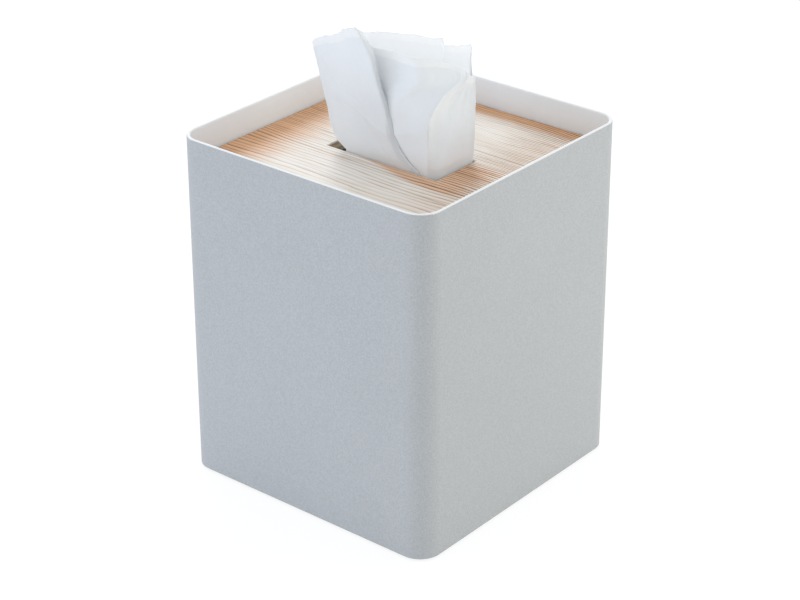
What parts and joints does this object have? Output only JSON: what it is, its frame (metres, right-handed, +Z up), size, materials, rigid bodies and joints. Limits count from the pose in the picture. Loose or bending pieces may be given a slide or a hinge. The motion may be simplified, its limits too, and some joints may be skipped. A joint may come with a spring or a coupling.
{
  "type": "tissue box",
  "caption": "Square upright tissue case of folded steel with rounded corners, a recessed slotted wooden lid and a gathered tissue standing in the slot.",
  "frame": {"origin": "on the floor, under the middle of the case", "axes": "+Z up, +X along the lid's slot, -Y towards the face at the left of the picture"},
  "size_m": [0.13, 0.13, 0.2004],
  "materials": {
    "case_coat": "matt white powder coat on sheet steel",
    "lid_wood": "clear-coated ash veneer on plywood",
    "tissue_paper": "soft white two-ply tissue",
    "foot_pad": "matt"
  },
  "bodies": {
    "root": {"case_sleeve": "case_coat", "base_plate": "case_coat", "lid_rest_front": "case_coat", "lid_rest_right": "case_coat", "lid_rest_back": "case_coat", "lid_rest_left": "case_coat", "foot_front_left": "foot_pad", "foot_front_right": "foot_pad", "foot_back_right": "foot_pad", "foot_back_left": "foot_pad", "lid_panel": "lid_wood", "tissue_stack": "tissue_paper", "pulled_tissue": "tissue_paper"}
  },
  "joints": []
}
